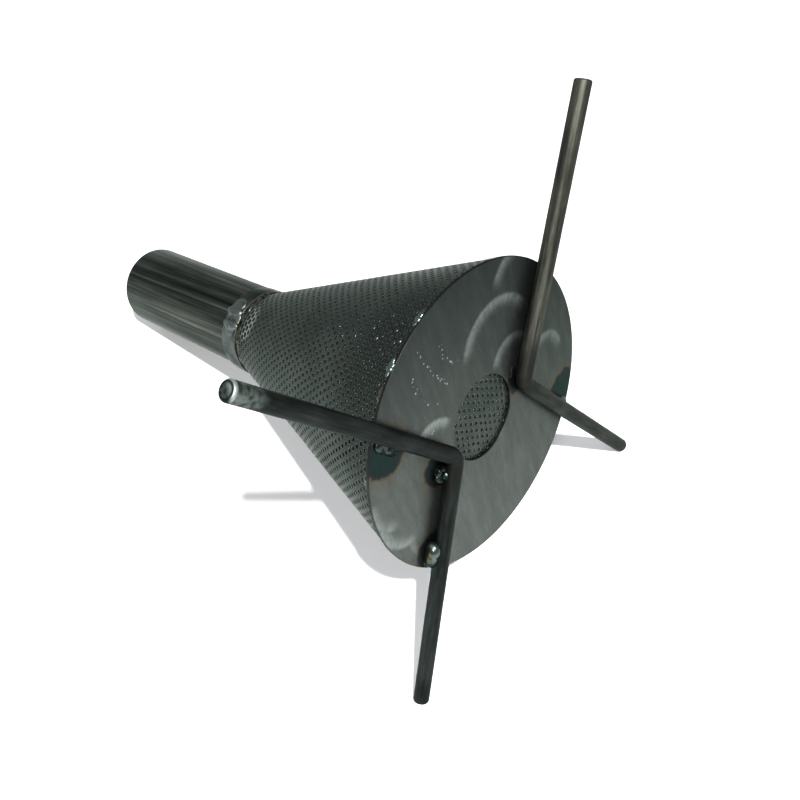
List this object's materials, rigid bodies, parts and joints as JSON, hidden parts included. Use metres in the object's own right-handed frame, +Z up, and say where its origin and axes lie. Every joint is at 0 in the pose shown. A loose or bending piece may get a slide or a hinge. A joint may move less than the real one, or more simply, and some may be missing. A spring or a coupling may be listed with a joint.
{
  "type": "welded suction strainer",
  "caption": "Welded steel suction strainer: open tube, cone of perforated sheet, flat end plate with a screened centre hole, and two bent round stand-off bars.",
  "frame": {"origin": "on the bench surface, under the middle of the object's box as it lies on the lower tip of each bar and on the tube's rim", "axes": "+Z up from the bench; +Y level, from the end plate towards the tube, whose axis slopes down towards +Y by about 19 degrees; +X to the right seen from the plate's side"},
  "size_m": [0.2148, 0.307, 0.2205],
  "materials": {
    "tube_mill_scale": "dark mill scale with brown and grey streaks along the tube, dull sheen",
    "collar_steel": "smooth grey-green steel, darker and burnt towards the weld",
    "perforated_steel": "bare perforated sheet with a dull oiled look and bright hole edges",
    "sanded_steel": "flat sheet with arc-shaped sanding marks and dark heat marks near the welds",
    "bar_steel": "hot-rolled round bar, dark scale with fine rubbed streaks",
    "bright_weld": "bright rippled weld metal with a dark burnt edge",
    "scorched_weld": "small dull weld metal with brown heat tint"
  },
  "bodies": {
    "root": {"bar_a_tack_corner": "bright_weld", "bar_a_tack_rim": "bright_weld", "bar_b_tack_corner": "bright_weld", "bar_b_tack_lower": "bright_weld", "bar_b_tack_rim": "bright_weld", "collar_weld": "bright_weld", "cone_seam_weld": "scorched_weld", "end_plate": "sanded_steel", "hole_screen": "perforated_steel", "neck_collar": "collar_steel", "neck_weld": "scorched_weld", "outlet_tube": "tube_mill_scale", "rim_tack_1": "scorched_weld", "rim_tack_10": "scorched_weld", "rim_tack_11": "scorched_weld", "rim_tack_12": "scorched_weld", "rim_tack_13": "scorched_weld", "rim_tack_2": "scorched_weld", "rim_tack_3": "scorched_weld", "rim_tack_4": "scorched_weld", "rim_tack_5": "scorched_weld", "rim_tack_6": "scorched_weld", "rim_tack_7": "scorched_weld", "rim_tack_8": "scorched_weld", "rim_tack_9": "scorched_weld", "screen_tack_1": "scorched_weld", "screen_tack_2": "scorched_weld", "screen_tack_3": "scorched_weld", "standoff_bar_a": "bar_steel", "standoff_bar_b": "bar_steel", "strainer_cone": "perforated_steel"}
  },
  "joints": []
}
